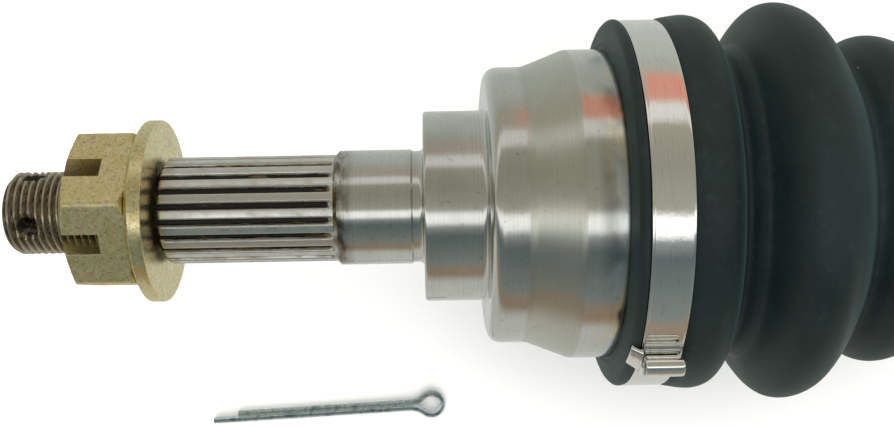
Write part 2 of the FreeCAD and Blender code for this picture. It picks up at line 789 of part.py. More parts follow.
def band_buckle(name, rim_r, low, high):
    # a rolled key across the band, on a short plate bent to the band's round
    buckle = new_body(name)
    middle = f"(({low} + {high}) / 2)"
    section = new_sketch(buckle, name + "_section", "YZ_Plane", offset=middle)
    base = f"({rim_r} + size.boot_band_wall + size.clamp_clearance + size.band_wall + size.ring_play)"
    top = f"({base} + size.buckle_plate)"
    roll = "(size.buckle_roll_d / 2)"
    reach = "size.buckle_plate_len"
    drop = f"({base} - sqrt({base}^2 - {reach}^2))"
    draw_outline(section, [
        (f"(-{reach})", f"({base} - {drop})"),
        (f"(-{reach})", f"({top} - {drop})"),
        ("via", f"(-({reach} + {roll}) / 2)", f"({top} - {drop} * 0.33)"),
        (f"(-{roll})", top),
        (f"(-{roll})", f"({top} + {roll} * 0.6)"),
        ("via", "0", f"({top} + {roll} * 1.6)"),
        (roll, f"({top} + {roll} * 0.6)"),
        (roll, f"sqrt({base}^2 - {roll}^2)"),
        ("via", "0", base),
    ])
    pad = buckle.newObject("PartDesign::Pad", name + "_pad")
    pad.Profile = (section, [""])
    pad.Midplane = True
    pad.setExpression("Length", "size.buckle_roll_len")
    buckle.Placement = Placement(Vector(), Rotation(Vector(1, 0, 0), number("size.buckle_turn")))
    doc.recompute()
    return buckle


def small_clamp(name, neck, way):
    # an ear clamp on the boot's neck: a band with one crimped ear
    middle = f"({neck} + {way} * size.neck_len / 2)"
    low = f"({middle} - size.neck_band_width / 2)"
    high = f"({middle} + size.neck_band_width / 2)"
    inner = f"({neck_r} + size.clamp_clearance)"
    outer = f"({inner} + size.band_wall)"
    clamp = turned(name, [(low, inner), (low, outer), (high, outer), (high, inner)])
    ear = new_sketch(clamp, name + "_ear_section", "YZ_Plane", offset=middle)
    half = "(size.neck_ear_len / 2)"
    top = f"({outer} + size.neck_ear_rise)"
    draw_outline(ear, [
        (f"(-{half})", f"({inner} + 0.1)"),
        (f"(-{half} * 0.7)", f"({top} - 1)"),
        ("via", "0", top),
        (f"({half} * 0.7)", f"({top} - 1)"),
        (half, f"({inner} + 0.1)"),
        (f"({half} - size.band_wall)", f"({inner} + 0.1)"),
        (f"({half} * 0.7 - size.band_wall)", f"({top} - 1 - size.band_wall)"),
        (f"(-{half} * 0.7 + size.band_wall)", f"({top} - 1 - size.band_wall)"),
        (f"(-{half} + size.band_wall)", f"({inner} + 0.1)"),
    ])
    pad = clamp.newObject("PartDesign::Pad", name + "_ear")
    pad.Profile = (ear, [""])
    pad.Midplane = True
    pad.setExpression("Length", "size.neck_band_width")
    doc.recompute()
    return clamp


def open_ring(name, low, length, inner, outer, opening=20):
    high = f"({low} + {length})"
    return turned(name, [(low, inner), (low, outer), (high, outer), (high, inner)], angle=360 - opening)


def inboard_outer_race():
    groove_start = f"({housing_mouth} + size.boot_groove_inset)"
    groove_end = f"({groove_start} + size.boot_groove_len)"
    groove_r = f"({housing_r} - size.boot_groove_depth)"
    journal_r = "(size.stub_journal_d / 2)"
    stop_ring = f"({stub_end} - size.stub_ring_inset)"
    ring_r = f"({stub_r} - size.stub_ring_wire * size.stub_ring_sunk)"
    corner = "size.housing_end_round"
    housing = turned("inboard_outer_race", [
        (housing_mouth, "0"),
        (housing_mouth, f"({housing_r} - 0.8)"),
        (f"({housing_mouth} + 0.8)", housing_r),
        (groove_start, housing_r),
        (f"({groove_start} + size.boot_groove_depth)", groove_r),
        (f"({groove_end} - size.boot_groove_depth)", groove_r),
        (groove_end, housing_r),
        (f"({housing_end} - {corner})", housing_r),
        ("via", f"({housing_end} - {corner} * {arc_half})", f"({housing_r} - {corner} * {arc_half})"),
        (housing_end, f"({housing_r} - {corner})"),
        (stub_shoulder, "(size.stub_shoulder_d / 2)"),
        (stub_shoulder, journal_r),
        (stub_journal_end, journal_r),
        (f"({stub_journal_end} + size.stub_edge)", stub_r),
        (f"({stop_ring} - size.stub_ring_wire)", stub_r),
        (f"({stop_ring} - size.stub_ring_wire)", ring_r),
        (stop_ring, ring_r),
        (stop_ring, stub_r),
        (f"({stub_end} - size.stub_edge)", stub_r),
        (stub_end, f"({stub_r} - size.stub_edge)"),
        (stub_end, "0"),
    ])
    stopper = f"({inboard} - size.stopper_offset)"
    pocket_r = f"({housing_bore_r} + size.stopper_wire - size.stopper_proud)"
    cut_ring(housing, "housing_bore", [
        (f"({housing_mouth} - 1)", "0"),
        (f"({housing_mouth} - 1)", f"({housing_bore_r} + 1)"),
        (f"({housing_mouth})", f"({housing_bore_r} + 1)"),
        (f"({housing_mouth} + 1)", housing_bore_r),
        (f"({stopper} - size.stopper_wire)", housing_bore_r),
        (f"({stopper} - size.stopper_wire)", pocket_r),
        (stopper, pocket_r),
        (stopper, housing_bore_r),
        (f"({housing_floor} - size.housing_floor_chamfer)", housing_bore_r),
        (housing_floor, f"({housing_bore_r} - size.housing_floor_chamfer)"),
        (housing_floor, "0"),
    ])
    track = new_sketch(housing, "straight_track_section", "YZ_Plane", offset=f"({housing_mouth} - 1)")
    draw_circle(track, "0", "size.ball_pitch_r", track_r)
    milled = pocket_along(housing, "straight_track", track,
                          "size.housing_mouth_reach + size.housing_depth - 1", reverse=True)
    around_axle(housing, milled, "size.ball_count")
    cut_splines(housing, "gearbox_spline", f"({stub_journal_end} + 2.5)", "size.stub_spline_len",
                stub_r, "size.stub_spline_teeth")
    return housing


def build():
    made = [outboard_outer_race(), castle_nut(), hub_washer(), cotter_pin()]
    made += [cage("outboard_cage", centre), inner_race("outboard_inner_race", centre)]
    made += balls("outboard_ball", centre)
    made.append(axle_shaft())
    play = "size.ring_play"
    inner = f"({bar_spline_r} - size.bar_ring_depth + {play})"
    outer = f"({bar_spline_r} + size.bar_ring_proud)"
    wide = f"(size.bar_ring_len - 2 * {play})"
    low = f"({centre} - size.race_half_width - size.bar_ring_len + {play})"
    made.append(open_ring("outboard_retaining_ring", low, wide, inner, outer))
    low = f"({inboard} + size.race_half_width + {play})"
    made.append(open_ring("inboard_retaining_ring", low, wide, inner, outer))

    rim = f"({mouth} - size.mouth_reach)"
    made.append(boot("outboard_boot", centre, 1, OUTBOARD_FOLDS, rim, bell_r, outboard_neck))
    band, low, high = large_band("outboard_large_band", rim, bell_r, 1)
    made += [band, band_buckle("outboard_band_buckle", bell_r, low, high)]
    made.append(small_clamp("outboard_small_clamp", outboard_neck, 1))

    made += [cage("inboard_cage", inboard), inner_race("inboard_inner_race", inboard)]
    made += balls("inboard_ball", inboard)
    made.append(inboard_outer_race())
    low = f"({inboard} - size.stopper_offset - size.stopper_wire + {play})"
    inner = f"({housing_bore_r} - size.stopper_proud)"
    made.append(open_ring("inboard_stopper_ring", low, f"(size.stopper_wire - 2 * {play})",
                          inner, f"({inner} + size.stopper_wire - {play})"))
    wire = "size.stub_ring_wire"
    low = f"({stub_end} - size.stub_ring_inset - {wire} + {play})"
    inner = f"({stub_r} - {wire} * size.stub_ring_sunk + {play})"
    outer = f"({stub_r} + {wire} * (1 - size.stub_ring_sunk))"
    made.append(open_ring("inboard_stub_ring", low, f"({wire} - 2 * {play})", inner, outer))

    rim = f"({housing_mouth} + size.mouth_reach)"
    made.append(boot("inboard_boot", inboard, -1, INBOARD_FOLDS, rim, housing_r, inboard_neck))
    band, low, high = large_band("inboard_large_band", rim, housing_r, -1)
    made += [band, band_buckle("inboard_band_buckle", housing_r, low, high)]
    made.append(small_clamp("inboard_small_clamp", inboard_neck, -1))
    return made


def write(parts):
    doc.recompute()
    for item in doc.Objects:
        if "Invalid" in item.State or "Error" in item.State:
            raise RuntimeError(f"{item.Label} failed: {item.State}")
    os.makedirs("parts", exist_ok=True)
    for part in parts:
        if part.Shape.isNull() or not part.Shape.isValid():
            raise RuntimeError(part.Label + " has no valid shape")
        part.Shape.exportStep(f"parts/{part.Label}.step")
        print(part.Label, len(part.Shape.Solids), round(part.Shape.Volume, 1))


write(build())
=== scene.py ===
import json
import math
import bpy
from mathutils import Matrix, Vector, noise


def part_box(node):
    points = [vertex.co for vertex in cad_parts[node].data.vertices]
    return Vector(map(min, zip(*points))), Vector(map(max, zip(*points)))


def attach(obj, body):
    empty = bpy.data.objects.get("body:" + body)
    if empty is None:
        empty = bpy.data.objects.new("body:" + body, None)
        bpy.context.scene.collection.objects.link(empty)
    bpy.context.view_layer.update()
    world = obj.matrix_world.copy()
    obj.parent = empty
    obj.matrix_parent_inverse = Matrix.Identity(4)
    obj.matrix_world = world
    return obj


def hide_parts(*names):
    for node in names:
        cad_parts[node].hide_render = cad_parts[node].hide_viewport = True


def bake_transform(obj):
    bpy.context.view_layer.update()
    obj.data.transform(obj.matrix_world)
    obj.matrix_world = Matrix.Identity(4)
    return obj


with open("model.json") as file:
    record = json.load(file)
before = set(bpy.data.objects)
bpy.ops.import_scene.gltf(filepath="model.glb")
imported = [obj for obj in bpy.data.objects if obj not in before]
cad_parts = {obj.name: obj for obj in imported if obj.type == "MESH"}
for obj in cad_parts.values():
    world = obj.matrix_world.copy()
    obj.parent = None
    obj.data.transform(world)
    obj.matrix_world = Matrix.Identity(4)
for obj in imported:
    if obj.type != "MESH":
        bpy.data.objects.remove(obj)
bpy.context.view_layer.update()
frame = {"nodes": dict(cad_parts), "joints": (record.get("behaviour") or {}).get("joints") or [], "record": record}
print("frame loaded:", len(frame["nodes"]), "nodes")

mm = 0.001
record = frame["record"]
joints = {joint["name"]: joint for joint in frame["joints"]}
mounts = {mount["name"]: mount for mount in record["mounts"]}


def lowX(node):
    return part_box(node)[0][0]


def highX(node):
    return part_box(node)[1][0]


def outerRadius(node):
    return (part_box(node)[1][2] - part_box(node)[0][2]) / 2


tipX = lowX("outboard_outer_race")
mouthX = highX("outboard_outer_race")
centreX = joints["outboard_bend"]["pos_m"][0]
inboardX = joints["inboard_tilt"]["pos_m"][0]
journalR = mounts["hub_journal"]["dims"]["r_mm"] * mm
journalHalf = mounts["hub_journal"]["dims"]["length_mm"] * mm / 2
shoulderX = mounts["hub_shoulder"]["pos_m"][0]
shoulderR = mounts["seal_land"]["dims"]["r_mm"] * mm
bellR = outerRadius("outboard_outer_race")
bandLow = lowX("outboard_large_band")
bandHigh = highX("outboard_large_band")
bandR = outerRadius("outboard_large_band")
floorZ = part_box("cotter_pin")[0][2]
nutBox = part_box("castle_nut")
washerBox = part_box("hub_washer")
washerR = outerRadius("hub_washer")


def addMesh(name, points, faces, body, replaced=(), material=None):
    mesh = bpy.data.meshes.new(name)
    mesh.from_pydata(points, [], faces)
    mesh.validate()
    mesh.update()
    piece = bpy.data.objects.new(name, mesh)
    bpy.context.scene.collection.objects.link(piece)
    for polygon in mesh.polygons:
        polygon.use_smooth = True
    if material:
        mesh.materials.append(material)
    if body:
        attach(piece, body)
    if replaced:
        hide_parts(*replaced)
    return piece


def turnedMesh(outline, around, closed=False):
    # outline is a list of (x, r); r may be a function of the angle, for teeth and threads
    points = []
    faces = []
    for x, r in outline:
        for step in range(around):
            angle = 2 * math.pi * step / around
            radius = r(angle) if callable(r) else r
            points.append((x, radius * math.sin(angle), radius * math.cos(angle)))
    rows = len(outline)
    for row in range(rows if closed else rows - 1):
        following = (row + 1) % rows
        for step in range(around):
            side = (step + 1) % around
            faces.append((row * around + step, row * around + side,
                          following * around + side, following * around + step))
    return points, faces


def rounded(corners, steps=5, closed=False):
    # corners are (x, r, fillet): each fillet becomes a short arc between its two straight runs
    outline = []
    count = len(corners)
    for index, (x, r, fillet) in enumerate(corners):
        here = Vector((x, r))
        atEnd = not closed and index in (0, count - 1)
        if fillet <= 0 or atEnd:
            outline.append((x, r))
            continue
        before = Vector(corners[index - 1][:2]) - here
        after = Vector(corners[(index + 1) % count][:2]) - here
        half = before.angle(after) / 2
        reach = min(fillet / math.tan(half), before.length * 0.49, after.length * 0.49)
        radius = reach * math.tan(half)
        bisector = (before.normalized() + after.normalized()).normalized()
        middle = here + bisector * (radius / math.sin(half))
        start = here + before.normalized() * reach - middle
        sweep = start.angle_signed(here + after.normalized() * reach - middle)
        for step in range(steps + 1):
            turn = -sweep * step / steps
            outline.append((middle.x + start.x * math.cos(turn) - start.y * math.sin(turn),
                            middle.y + start.x * math.sin(turn) + start.y * math.cos(turn)))
    return outline


def refined(outline, step):
    # splits long runs so that a wobble or a crease has vertices to move
    fine = [outline[0]]
    for before, after in zip(outline, outline[1:]):
        length = math.hypot(after[0] - before[0], after[1] - before[1])
        parts = max(1, int(length / step))
        for part in range(1, parts + 1):
            share = part / parts
            fine.append(tuple(first + (last - first) * share for first, last in zip(before, after)))
    return fine


def smoothThrough(points, steps):
    # a soft curve through the folds of a boot
    curve = []
    count = len(points)
    for index in range(count - 1):
        p0 = Vector(points[max(index - 1, 0)])
        p1 = Vector(points[index])
        p2 = Vector(points[index + 1])
        p3 = Vector(points[min(index + 2, count - 1)])
        for step in range(steps):
            t = step / steps
            place = 0.5 * (2 * p1 + (p2 - p0) * t + (2 * p0 - 5 * p1 + 4 * p2 - p3) * t * t
                           + (3 * p1 - p0 - 3 * p2 + p3) * t ** 3)
            curve.append((place.x, place.y))
    curve.append(tuple(points[-1]))
    return curve


def newMaterial(name):
    material = bpy.data.materials.new(name)
    material.use_nodes = True
    tree = material.node_tree
    shader = tree.nodes["Principled BSDF"]
    return material, tree, shader


def addNode(tree, kind, **settings):
    node = tree.nodes.new(kind)
    for name, setting in settings.items():
        if name in node.inputs:
            node.inputs[name].default_value = setting
        else:
            setattr(node, name, setting)
    return node


def grain(tree, scale, detail=4.0, roughness=0.6, stretch=(1, 1, 1), distortion=0.0):
    # noise in the object's own metres; stretch above 1 packs it tighter along that axis
    place = addNode(tree, "ShaderNodeTexCoord")
    mapping = addNode(tree, "ShaderNodeMapping")
    mapping.inputs["Scale"].default_value = stretch
    pattern = addNode(tree, "ShaderNodeTexNoise")
    pattern.inputs["Scale"].default_value = scale
    pattern.inputs["Detail"].default_value = detail
    pattern.inputs["Roughness"].default_value = roughness
    pattern.inputs["Distortion"].default_value = distortion
    tree.links.new(place.outputs["Object"], mapping.inputs["Vector"])
    tree.links.new(mapping.outputs["Vector"], pattern.inputs["Vector"])
    return pattern.outputs["Fac"]


def ramp(tree, factor, stops):
    node = addNode(tree, "ShaderNodeValToRGB")
    band = node.color_ramp
    while len(band.elements) < len(stops):
        band.elements.new(0.5)
    for element, (place, colour) in zip(band.elements, stops):
        element.position = place
        element.color = (*colour, 1.0) if len(colour) == 3 else colour
    tree.links.new(factor, node.inputs["Fac"])
    return node.outputs["Color"]


def blendColours(tree, factor, first, second, mode="MIX"):
    node = addNode(tree, "ShaderNodeMix", data_type="RGBA", blend_type=mode)
    for socket, source in ((node.inputs[0], factor), (node.inputs[6], first), (node.inputs[7], second)):
        if isinstance(source, (int, float)):
            socket.default_value = source
        elif isinstance(source, tuple):
            socket.default_value = (*source, 1.0)
        else:
            tree.links.new(source, socket)
    return node.outputs[2]


def scaled(tree, source, low, high, fromLow=0.0, fromHigh=1.0):
    node = addNode(tree, "ShaderNodeMapRange")
    node.inputs["From Min"].default_value = fromLow
    node.inputs["From Max"].default_value = fromHigh
    node.inputs["To Min"].default_value = low
    node.inputs["To Max"].default_value = high
    tree.links.new(source, node.inputs["Value"])
    return node.outputs["Result"]


def nearX(tree, x, reach):
    # 1 at a station along the axle, falling to 0 at reach on either side
    place = addNode(tree, "ShaderNodeTexCoord")
    split = addNode(tree, "ShaderNodeSeparateXYZ")
    tree.links.new(place.outputs["Object"], split.inputs["Vector"])
    away = addNode(tree, "ShaderNodeMath", operation="SUBTRACT")
    tree.links.new(split.outputs["X"], away.inputs[0])
    away.inputs[1].default_value = x
    distance = addNode(tree, "ShaderNodeMath", operation="ABSOLUTE")
    tree.links.new(away.outputs[0], distance.inputs[0])
    return scaled(tree, distance.outputs[0], 1.0, 0.0, 0.0, reach)


def multiply(tree, first, second):
    node = addNode(tree, "ShaderNodeMath", operation="MULTIPLY", use_clamp=True)
    for socket, source in zip(node.inputs, (first, second)):
        if isinstance(source, (int, float)):
            socket.default_value = source
        else:
            tree.links.new(source, socket)
    return node.outputs[0]


def addBump(tree, shader, heights):
    # heights is a list of (socket, strength, distance); each bump rests on the last
    normal = None
    for height, strength, distance in heights:
        bump = addNode(tree, "ShaderNodeBump")
        bump.inputs["Strength"].default_value = strength
        bump.inputs["Distance"].default_value = distance
        tree.links.new(height, bump.inputs["Height"])
        if normal:
            tree.links.new(normal, bump.inputs["Normal"])
        normal = bump.outputs["Normal"]
    tree.links.new(normal, shader.inputs["Normal"])


steelLook = {
    "colour": (0.60, 0.61, 0.58),
    "worn": (0.72, 0.73, 0.70),
    "stain": (0.15, 0.125, 0.09),
    "cone": (0.50, 0.50, 0.40),
    "coneRoughness": 0.27,
    "coneFilm": 0.45,
    "smudge": (0.03, 0.028, 0.022),
    "ringShade": (0.42, 0.41, 0.38),
    # straw and blue patches on the bell beside the boot: place in the noise, and colour
    "temper": [(0.35, (1, 1, 1)), (0.48, (1.0, 0.90, 0.66)), (0.58, (0.72, 0.80, 0.92)), (0.70, (1, 1, 1))],
    "temperReach": 6.0 * mm,
    "roughness": (0.10, 0.20),
    "turningMarks": 0.18,
    "marksPerMetre": 2600,
}


def turnedSteel(name="turnedSteel", look=steelLook, stainAt=None, stainReach=0.006, cone=None):
    material, tree, shader = newMaterial(name)
    rings = grain(tree, look["marksPerMetre"], detail=2.0, stretch=(1, 0.0, 0.0))
    broad = grain(tree, 60, detail=5.0, stretch=(1.5, 1, 1))
    spots = grain(tree, 900, detail=3.0, roughness=0.7)
    base = blendColours(tree, scaled(tree, broad, 0.0, 1.0, 0.35, 0.7), look["colour"], look["worn"])
    base = blendColours(tree, scaled(tree, rings, 0.0, 0.35, 0.3, 0.75), base, look["ringShade"])
    base = blendColours(tree, scaled(tree, spots, 0.0, 0.5, 0.62, 0.75), base, look["stain"])
    if stainAt is not None:
        ragged = grain(tree, 260, detail=5.0, stretch=(2.5, 1, 1))
        close = multiply(tree, nearX(tree, stainAt, stainReach), scaled(tree, ragged, 0.0, 1.8, 0.3, 0.7))
        base = blendColours(tree, close, base, look["stain"])
    roughness = scaled(tree, broad, *look["roughness"], 0.3, 0.7)
    if cone:
        # the cone was left as turned, a little duller and yellower than the ground bands beside it
        near = nearX(tree, (cone[0] + cone[1]) / 2, (cone[1] - cone[0]) / 2 + 0.0006)
        onCone = scaled(tree, near, 0.0, 1.0, 0.0, 0.12)
        base = blendColours(tree, multiply(tree, onCone, look["coneFilm"]), base, look["cone"])
        roughness = scaled(tree, onCone, look["roughness"][1] - 0.05, look["coneRoughness"])
        tint = ramp(tree, grain(tree, 60, detail=3.0, stretch=(3, 0.8, 0.8)), look["temper"])
        besideBoot = nearX(tree, lowX("outboard_boot"), look["temperReach"])
        base = blendColours(tree, besideBoot, base, tint, "MULTIPLY")
        ragged = grain(tree, 55, detail=3.0, roughness=0.5, stretch=(1.4, 1, 1))
        smudge = multiply(tree, multiply(tree, besideBoot, 1.4), scaled(tree, ragged, 0.0, 1.0, 0.50, 0.66))
        base = blendColours(tree, smudge, base, look["smudge"])
    tree.links.new(base, shader.inputs["Base Color"])
    shader.inputs["Metallic"].default_value = 1.0
    tree.links.new(roughness, shader.inputs["Roughness"])
    addBump(tree, shader, [
        (rings, look["turningMarks"], 0.00006),
        (spots, 0.10, 0.00003),
    ])
    return material


rootShadedOilySteelLook = {
    "metal": (0.46, 0.42, 0.32),
    # the dark the roots are painted towards: painted shade in the recesses, with oil blotches; the edge sets how
    # strongly
    "oil": (0.018, 0.015, 0.010),
    "rust": (0.26, 0.19, 0.09),
    "blotch": 0.22,
    "oilEdge": 1.0,
}

splineSteelLook = {
    "metal": (0.70, 0.70, 0.67),
    # the dark the tooth roots are painted towards: painted shade in the recesses, with oil blotches; the edge sets
    # how strongly
    "oil": (0.006, 0.005, 0.004),
    "rust": (0.30, 0.22, 0.10),
    "blotch": 0.16,
    "oilEdge": 1.9,
}


def rootShadedOilySteel(name, rootR, crestR, look=rootShadedOilySteelLook, rust=0.35):
    # bright crests and roots darkened with painted shade and oily blotches: the mix follows the distance from the
    # axle's line
    material, tree, shader = newMaterial(name)
    place = addNode(tree, "ShaderNodeTexCoord")
    flat = addNode(tree, "ShaderNodeVectorMath", operation="MULTIPLY")
    flat.inputs[1].default_value = (0, 1, 1)
    tree.links.new(place.outputs["Object"], flat.inputs[0])
    length = addNode(tree, "ShaderNodeVectorMath", operation="LENGTH")
    tree.links.new(flat.outputs["Vector"], length.inputs[0])
    blotch = grain(tree, 420, detail=4.0)
    depth = scaled(tree, length.outputs["Value"], 1.0, 0.0, rootR, crestR)
    shadeAndDirt = addNode(tree, "ShaderNodeMath", operation="ADD", use_clamp=True)
    tree.links.new(depth, shadeAndDirt.inputs[0])
    tree.links.new(scaled(tree, blotch, -look["blotch"], look["blotch"], 0.3, 0.7), shadeAndDirt.inputs[1])
    # a golden film lies between the bright crests and the roots darkened with painted shade
    streaks = grain(tree, 700, detail=3.0, stretch=(0.12, 1, 1))
    film = multiply(tree, scaled(tree, depth, 0.0, 1.0, 0.1, 0.5),
                    scaled(tree, streaks, 0.0, 1.0, 0.42, 0.60))
    rusty = blendColours(tree, scaled(tree, blotch, 0.0, rust, 0.45, 0.65), look["metal"], look["rust"])
    rusty = blendColours(tree, film, rusty, look["rust"])
    # painted shade: colour darkens towards the roots, where shade falls, broken up by blotchy oil dirt
    shadeAndOilMask = multiply(tree, scaled(tree, shadeAndDirt.outputs[0], 0.0, look["oilEdge"], 0.35, 0.95),
                     scaled(tree, streaks, 1.0, 0.35, 0.50, 0.68))
    base = blendColours(tree, shadeAndOilMask, rusty, look["oil"])
    tree.links.new(base, shader.inputs["Base Color"])
    tree.links.new(scaled(tree, shadeAndOilMask, 1.0, 0.35), shader.inputs["Metallic"])
    tree.links.new(scaled(tree, blotch, 0.22, 0.42, 0.3, 0.7), shader.inputs["Roughness"])
    addBump(tree, shader, [(grain(tree, 2400, detail=3.0), 0.18, 0.00004)])
    return material


yellowZincLook = {
    "gold": (0.74, 0.63, 0.31),
    "pale": (0.82, 0.75, 0.46),
    "pink": (0.72, 0.54, 0.36),
    "green": (0.64, 0.66, 0.38),
    "speck": (0.22, 0.17, 0.08),
    "grain": 1700,
}


def yellowZinc(name, look=yellowZincLook, grainStrength=0.35, roughness=(0.20, 0.36)):
    material, tree, shader = newMaterial(name)
    film = grain(tree, 210, detail=5.0, roughness=0.65, distortion=0.5)
    base = ramp(tree, film, [(0.28, look["green"]), (0.40, look["pale"]), (0.50, look["gold"]),
                             (0.58, look["pale"]), (0.70, look["pink"])])
    specks = grain(tree, look["grain"], detail=3.0, roughness=0.7)
    base = blendColours(tree, scaled(tree, specks, 0.0, 0.65, 0.52, 0.70), base, look["speck"])
    tree.links.new(base, shader.inputs["Base Color"])
    shader.inputs["Metallic"].default_value = 1.0
    tree.links.new(scaled(tree, film, *roughness, 0.3, 0.7), shader.inputs["Roughness"])
    addBump(tree, shader, [(specks, grainStrength, 0.00006), (grain(tree, 300, detail=2.0), 0.15, 0.0001)])
    return material


brightZincLook = {
    "pale": (0.62, 0.73, 0.75),
    "blue": (0.26, 0.36, 0.40),
}


def brightZinc(look=brightZincLook):
    material, tree, shader = newMaterial("brightZinc")
    cloud = grain(tree, 380, detail=4.0)
    base = ramp(tree, cloud, [(0.32, look["blue"]), (0.5, look["pale"]), (0.68, look["blue"])])
    tree.links.new(base, shader.inputs["Base Color"])
    shader.inputs["Metallic"].default_value = 1.0
    tree.links.new(scaled(tree, cloud, 0.16, 0.34, 0.3, 0.7), shader.inputs["Roughness"])
    addBump(tree, shader, [(grain(tree, 2600, detail=3.0, stretch=(0.15, 1, 1)), 0.25, 0.00004)])
    return material


stripLook = {
    "steel": (0.82, 0.82, 0.79),
    "scratch": (0.56, 0.56, 0.54),
    "roughness": (0.04, 0.13),
}


def stainlessStrip(name="stainlessStrip", look=stripLook):
    material, tree, shader = newMaterial(name)
    scratches = grain(tree, 3200, detail=3.0, roughness=0.7, stretch=(1, 0.05, 0.05))
    smears = grain(tree, 160, detail=4.0)
    base = blendColours(tree, scaled(tree, scratches, 0.0, 0.8, 0.55, 0.75), look["steel"], look["scratch"])
    tree.links.new(base, shader.inputs["Base Color"])
    shader.inputs["Metallic"].default_value = 1.0
    tree.links.new(scaled(tree, smears, *look["roughness"], 0.3, 0.7), shader.inputs["Roughness"])
    dents = grain(tree, 240, detail=3.0, roughness=0.6)
    addBump(tree, shader, [(scratches, 0.07, 0.00003), (dents, 0.22, 0.00012)])
    return material


rubberLook = {
    "dark": (0.0045, 0.0085, 0.0085),
    "pale": (0.0095, 0.0165, 0.0165),
    "bloom": (0.020, 0.031, 0.030),
    "fleck": (0.30, 0.32, 0.31),
    "sheen": (0.35, 0.62, 0.58),
    "roughness": (0.46, 0.62),
}


def bootRubber(look=rubberLook):
    material, tree, shader = newMaterial("bootRubber")
    cloud = grain(tree, 38, detail=5.0, roughness=0.6)
    dust = grain(tree, 520, detail=5.0, roughness=0.75)
    base = blendColours(tree, scaled(tree, cloud, 0.0, 1.0, 0.32, 0.68), look["dark"], look["pale"])
    base = blendColours(tree, scaled(tree, dust, 0.0, 0.4, 0.52, 0.74), base, look["bloom"])
    flecks = grain(tree, 1500, detail=1.0)
    base = blendColours(tree, scaled(tree, flecks, 0.0, 1.0, 0.83, 0.86), base, look["fleck"])
    tree.links.new(base, shader.inputs["Base Color"])
    tree.links.new(scaled(tree, cloud, *look["roughness"], 0.3, 0.7), shader.inputs["Roughness"])
    shader.inputs["Specular IOR Level"].default_value = 0.26
    shader.inputs["Sheen Weight"].default_value = 0.10
    shader.inputs["Sheen Roughness"].default_value = 0.4
    shader.inputs["Sheen Tint"].default_value = (*look["sheen"], 1.0)
    addBump(tree, shader, [(grain(tree, 2800, detail=4.0), 0.16, 0.00006), (dust, 0.12, 0.0001)])
    return material


paintLook = {
    "dark": (0.012, 0.012, 0.013),
    "pale": (0.028, 0.028, 0.03),
    "chip": (0.22, 0.21, 0.19),
    "roughness": (0.28, 0.45),
}


def satinPaint(look=paintLook):
    material, tree, shader = newMaterial("satinPaint")
    cloud = grain(tree, 90, detail=4.0)
    chips = grain(tree, 700, detail=4.0, roughness=0.7)
    base = blendColours(tree, scaled(tree, cloud, 0.0, 1.0, 0.3, 0.7), look["dark"], look["pale"])
    base = blendColours(tree, scaled(tree, chips, 0.0, 0.7, 0.68, 0.74), base, look["chip"])
    tree.links.new(base, shader.inputs["Base Color"])
    tree.links.new(scaled(tree, cloud, *look["roughness"], 0.3, 0.7), shader.inputs["Roughness"])
    addBump(tree, shader, [(grain(tree, 1500, detail=3.0), 0.12, 0.00005)])
    return material


materials = {
    "machined_steel": turnedSteel(),
    "hardened_steel": turnedSteel("hardenedSteel"),
    "spring_steel": rootShadedOilySteel("springSteel", 0.0, 0.004),
    "stainless_band": stainlessStrip(),
    "yellow_zinc": yellowZinc("yellowZinc"),
    "bright_zinc": brightZinc(),
    "painted_bar": satinPaint(),
    "boot_rubber": bootRubber(),
}
for entry in record["subparts"]:
    node = frame["nodes"][entry["node"]]
    node.data.materials.clear()
    node.data.materials.append(materials[entry["material_slot"]])
print("materials made:", len(bpy.data.materials))


threadLook = {
    "radius": 9.0 * mm,
    "depth": 0.92 * mm,
    "pitch": 1.5 * mm,
    "length": 30.5 * mm,
    "stationsPerPitch": 14,
    "around": 160,
    "tipChamfer": 1.3 * mm,
    "holeRadius": 2.05 * mm,
    "holeSpot": 3.1 * mm,
    "holeInset": 5.2 * mm,
    "holeTurn": math.radians(20.5),
    "holeBottom": 5.5 * mm,
    "spotSlope": 0.8,
    "rootFlat": 0.16,
    "flank": 0.62,
    "runOut": 1.5 * mm,
}

splineLook = {
    "radius": 11.625 * mm,
    "depth": 1.15 * mm,
    "teeth": 21,
    "land": 0.50,
    "flank": 0.24,
    "endBreak": 0.9 * mm,
    "turn": math.radians(3.7),
    "start": 33.5 * mm,
    "length": 34.3 * mm,
    "rise": 2.6 * mm,
    "pointsPerTooth": 20,
}


def holeDepth(x, angle, radius, look):
    # how far the surface drops at a cross hole, with its spot-faced edge
    drop = 0.0
    for turn in (0, 90, 180, 270):
        off = (angle + look["holeTurn"] + math.radians(turn) + math.pi) % (2 * math.pi) - math.pi
        away = math.hypot(x - tipX - look["holeInset"], radius * math.sin(off)) if abs(off) < 1.2 else 1.0
        if away < look["holeRadius"]:
            drop = max(drop, look["holeBottom"])
        elif away < look["holeSpot"]:
            drop = max(drop, (look["holeSpot"] - away) * look["spotSlope"])
    return drop


